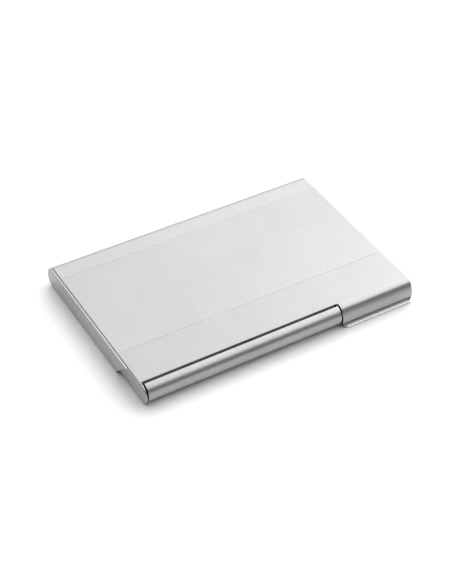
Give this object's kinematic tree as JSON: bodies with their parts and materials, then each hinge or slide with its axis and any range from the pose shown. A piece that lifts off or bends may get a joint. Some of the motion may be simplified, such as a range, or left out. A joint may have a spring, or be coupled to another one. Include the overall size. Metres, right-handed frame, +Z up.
{
  "type": "business card case",
  "caption": "Slim clamshell card case in anodised aluminium: flat lid hinged along the back edge, half-round front bar, one outer side flange and a thumb lip at the other end.",
  "frame": {"origin": "middle of the closed case's outline, on the surface it lies on", "axes": "+Z up through the flat lid, +X along the case to the end with the thumb lip, +Y from the front edge to the hinged back edge"},
  "size_m": [0.0938, 0.0658, 0.007],
  "materials": {
    "anodised_aluminium": "matt silver anodising",
    "spring_steel": "bright rolled spring strip",
    "rod_steel": "drawn steel rod",
    "nylon": "natural nylon"
  },
  "bodies": {
    "base": {"base_tray": "anodised_aluminium", "front_bar": "anodised_aluminium", "hinge_rod": "rod_steel", "hinge_washer_left": "nylon", "hinge_washer_right": "nylon", "catch_spring": "spring_steel", "catch_stud": "spring_steel"},
    "lid": {"lid_shell": "anodised_aluminium", "card_spring": "spring_steel", "card_spring_stud_left": "spring_steel", "card_spring_stud_right": "spring_steel"}
  },
  "joints": [
    {"name": "lid_hinge", "type": "hinge", "parent": "base", "child": "lid", "pos_m": [0, 0.02941, 0.0035], "axis": [-1, 0, 0], "range_deg": [0, 95]}
  ]
}
